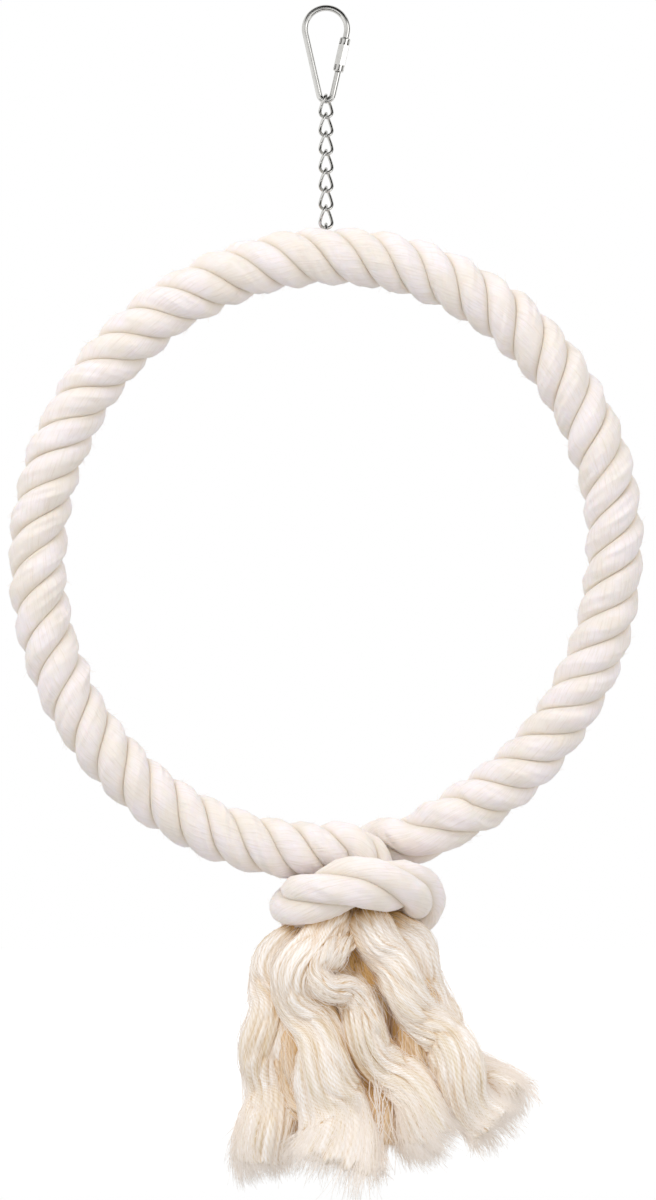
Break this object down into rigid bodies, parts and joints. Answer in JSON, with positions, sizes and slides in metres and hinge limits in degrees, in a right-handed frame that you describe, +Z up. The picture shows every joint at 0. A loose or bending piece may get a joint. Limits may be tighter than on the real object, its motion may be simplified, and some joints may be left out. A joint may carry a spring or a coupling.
{
  "type": "rope ring bird swing",
  "caption": "Round perch swing for cage birds: a hard-laid cotton rope ring on a core hoop, closed by a knot with frayed tails, hung from twisted-link chain and a pear-shaped quick link.",
  "frame": {"origin": "inside top of the quick link's upper bow, where the cage bar carries the swing", "axes": "+Z up along the chain, +X to the viewer's right along the ring's plane, +Y away from the viewer through the ring"},
  "size_m": [0.2494, 0.0692, 0.4612],
  "materials": {
    "nickel_plated_steel": "bright nickel plate",
    "hoop_steel": "plain drawn wire",
    "cotton_rope": "natural undyed cotton, three-strand hard lay, matt"
  },
  "bodies": {
    "quick_link": {"quick_link_bow": "nickel_plated_steel"},
    "sleeve": {"quick_link_sleeve": "nickel_plated_steel"},
    "link_1": {"chain_link_1": "nickel_plated_steel"},
    "link_2": {"chain_link_2": "nickel_plated_steel"},
    "link_3": {"chain_link_3": "nickel_plated_steel"},
    "link_4": {"chain_link_4": "nickel_plated_steel"},
    "link_5": {"chain_link_5": "nickel_plated_steel"},
    "link_6": {"chain_link_6": "nickel_plated_steel"},
    "link_7": {"chain_link_7": "nickel_plated_steel"},
    "ring": {"joining_ring": "hoop_steel", "core_hoop": "hoop_steel", "ring_strand_1": "cotton_rope", "ring_strand_2": "cotton_rope", "ring_strand_3": "cotton_rope", "knot_strand_1": "cotton_rope", "knot_strand_2": "cotton_rope", "knot_strand_3": "cotton_rope", "left_tail_lock_1": "cotton_rope", "left_tail_lock_2": "cotton_rope", "left_tail_lock_3": "cotton_rope", "right_tail_lock_1": "cotton_rope", "right_tail_lock_2": "cotton_rope", "right_tail_lock_3": "cotton_rope"}
  },
  "joints": [
    {"name": "sleeve_slide", "type": "slide", "parent": "quick_link", "child": "sleeve", "axis": [-0.2205, 0, -0.9754], "range_m": [0, 0.008]},
    {"name": "link_1_turn", "type": "hinge", "parent": "quick_link", "child": "link_1", "pos_m": [0, 0, -0.033], "axis": [0, 0, 1], "range_deg": [-20, 35]},
    {"name": "link_2_rock", "type": "hinge", "parent": "link_1", "child": "link_2", "pos_m": [0, 0, -0.04185], "axis": [1, 0, 0], "range_deg": [-35, 35]},
    {"name": "link_3_rock", "type": "hinge", "parent": "link_2", "child": "link_3", "pos_m": [0, 0, -0.0475], "axis": [0, 1, 0], "range_deg": [-35, 35]},
    {"name": "link_4_rock", "type": "hinge", "parent": "link_3", "child": "link_4", "pos_m": [0, 0, -0.05635], "axis": [1, 0, 0], "range_deg": [-35, 35]},
    {"name": "link_5_rock", "type": "hinge", "parent": "link_4", "child": "link_5", "pos_m": [0, 0, -0.062], "axis": [0, 1, 0], "range_deg": [-35, 35]},
    {"name": "link_6_rock", "type": "hinge", "parent": "link_5", "child": "link_6", "pos_m": [0, 0, -0.07085], "axis": [1, 0, 0], "range_deg": [-35, 35]},
    {"name": "link_7_rock", "type": "hinge", "parent": "link_6", "child": "link_7", "pos_m": [0, 0, -0.0765], "axis": [0, 1, 0], "range_deg": [-35, 35]},
    {"name": "ring_swing", "type": "hinge", "parent": "link_7", "child": "ring", "pos_m": [0, 0, -0.08535], "axis": [1, 0, 0], "range_deg": [-35, 35]}
  ]
}
